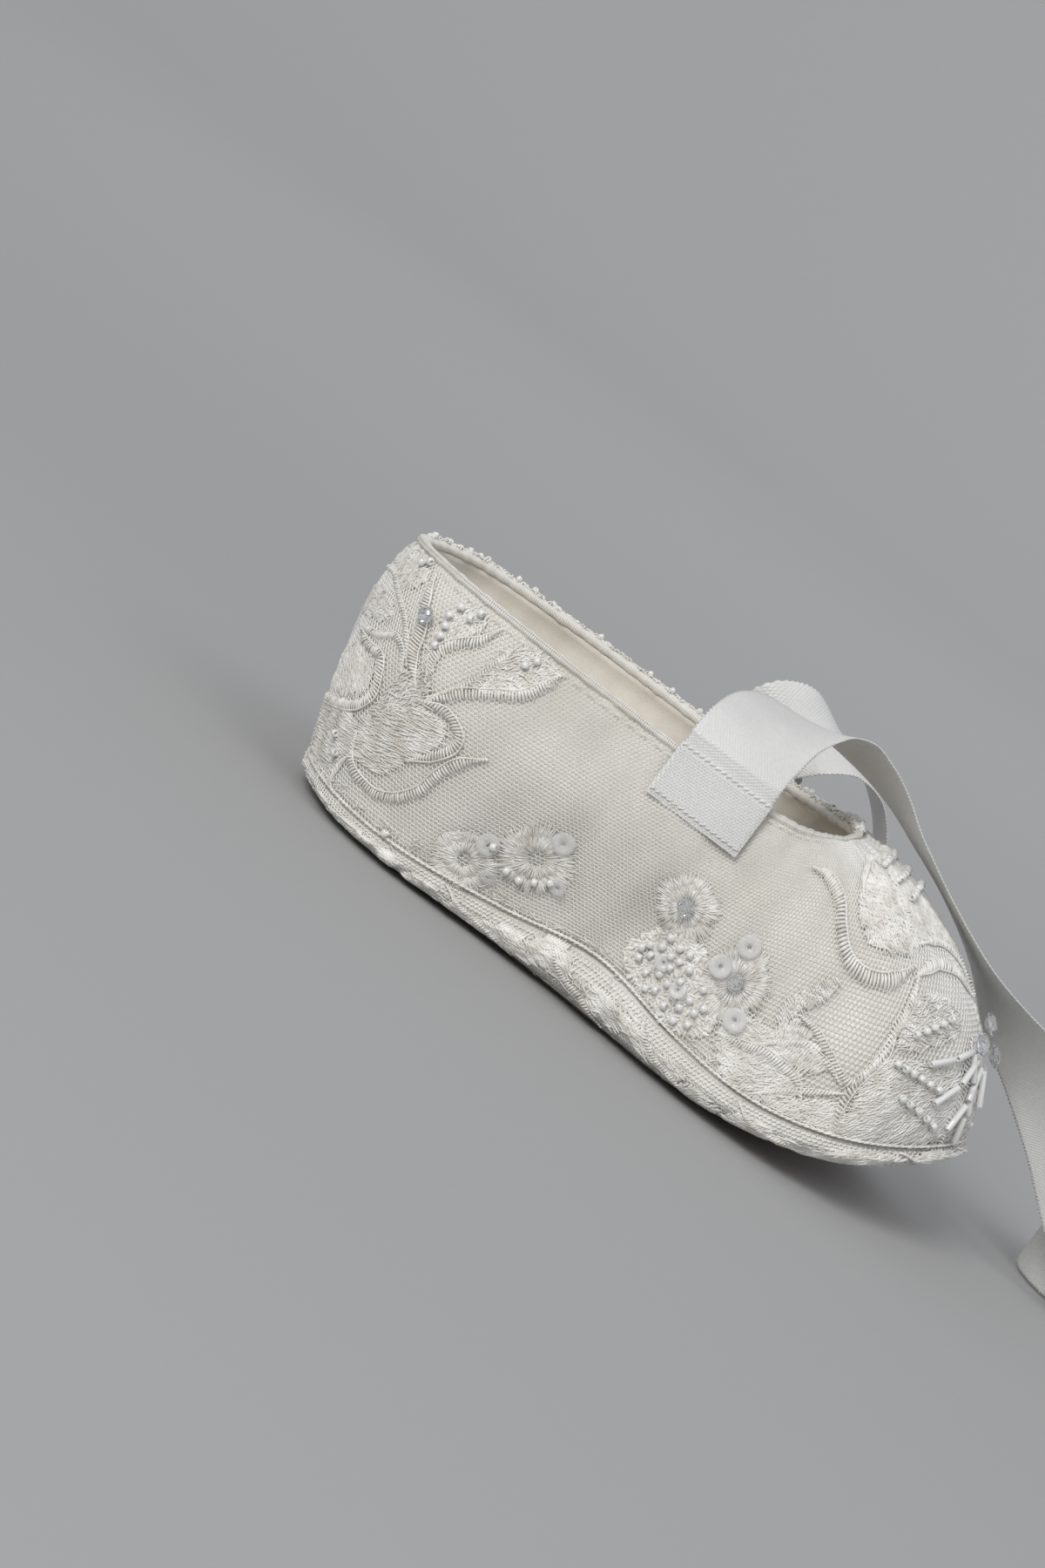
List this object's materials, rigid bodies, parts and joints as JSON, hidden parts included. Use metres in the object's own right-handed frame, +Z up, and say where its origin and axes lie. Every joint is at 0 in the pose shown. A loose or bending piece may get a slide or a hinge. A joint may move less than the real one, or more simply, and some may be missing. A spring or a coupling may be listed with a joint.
{
  "type": "ballet slipper",
  "caption": "Soft baby ballet slipper of embroidered tulle over ivory satin, with a padded wrapped sole and ribbon ties that swing from the collar.",
  "frame": {"origin": "middle of the tread on the sole's flat underside, on the slipper's long axis", "axes": "+X towards the toe, +Y to the wearer's left, +Z up out of the foot opening"},
  "size_m": [0.158, 0.0754, 0.0538],
  "materials": {
    "satin": "ivory satin under tulle",
    "lining": "smooth ivory lining satin",
    "tulle": "fine hexagonal net",
    "embroidery": "rayon satin-stitch thread",
    "ribbon": "double-faced satin ribbon",
    "suede": "blush suede split",
    "wadding": "felted wadding",
    "stone": "faceted clear glass"
  },
  "bodies": {
    "root": {"outsole_patch": "suede", "sole_cover": "embroidery", "sole_lace_band": "embroidery", "sole_wadding": "wadding", "sock_lining": "lining", "sole_seam_thread": "embroidery", "upper_lining": "lining", "heel_counter": "wadding", "toe_puff": "wadding", "upper_satin": "satin", "tulle_overlay": "tulle", "topline_binding": "satin", "toe_applique": "embroidery", "heel_applique": "embroidery", "ribbon_right_sewn_end": "ribbon", "ribbon_left_sewn_end": "ribbon", "ribbon_right_tack_thread": "embroidery", "ribbon_left_tack_thread": "embroidery", "flower_heel_back_right": "embroidery", "flower_heel_back_left": "embroidery", "flower_heel_front_right": "embroidery", "flower_heel_front_left": "embroidery", "flower_side_back_right": "embroidery", "flower_side_back_left": "embroidery", "flower_side_front_right": "embroidery", "flower_side_front_left": "embroidery", "bead_cluster_right": "embroidery", "bead_cluster_left": "embroidery", "leaf_sprig_right": "embroidery", "leaf_sprig_left": "embroidery", "vamp_petal_right": "embroidery", "vamp_petal_left": "embroidery", "crystal_side_back_right": "stone", "crystal_side_back_left": "stone", "crystal_side_front_right": "stone", "crystal_side_front_left": "stone", "crystal_heel_right": "stone", "crystal_heel_left": "stone", "crystal_toe_top": "stone", "crystal_toe_right": "stone", "crystal_toe_low": "stone"},
    "ribbon_right_free": {"ribbon_right": "ribbon"},
    "ribbon_left_free": {"ribbon_left": "ribbon"}
  },
  "joints": [
    {"name": "ribbon_right_swing", "type": "hinge", "parent": "root", "child": "ribbon_right_free", "pos_m": [-0.0035, -0.02135, 0.0416], "axis": [1, 0, 0], "range_deg": [0, 90]},
    {"name": "ribbon_left_swing", "type": "hinge", "parent": "root", "child": "ribbon_left_free", "pos_m": [-0.0035, 0.02135, 0.0416], "axis": [1, 0, 0], "range_deg": [0, 45]}
  ]
}
